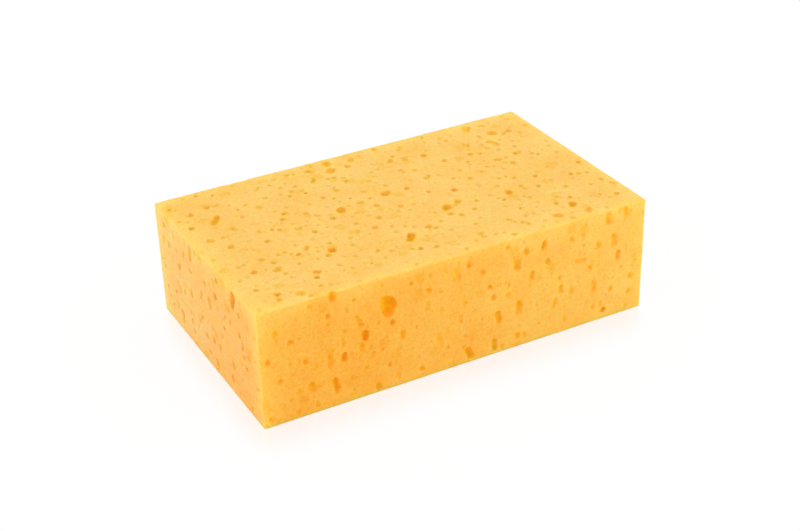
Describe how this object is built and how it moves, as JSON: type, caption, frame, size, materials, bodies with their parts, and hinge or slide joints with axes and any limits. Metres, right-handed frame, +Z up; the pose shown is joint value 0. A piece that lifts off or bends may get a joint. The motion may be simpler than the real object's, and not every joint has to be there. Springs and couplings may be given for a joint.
{
  "type": "cleaning sponge",
  "caption": "Rectangular block of yellow open-celled foam, cut square on all sides, for washing and wiping by hand.",
  "frame": {"origin": "middle of the flat base that the sponge rests on", "axes": "+X along the long side, +Y from the front long side towards the back one, +Z up through the thickness, the way the foam rose"},
  "size_m": [0.17, 0.1, 0.05],
  "materials": {
    "foam": "matt soft open-celled foam with fine cells and scattered larger pores"
  },
  "bodies": {
    "root": {"foam_block": "foam"}
  },
  "joints": []
}
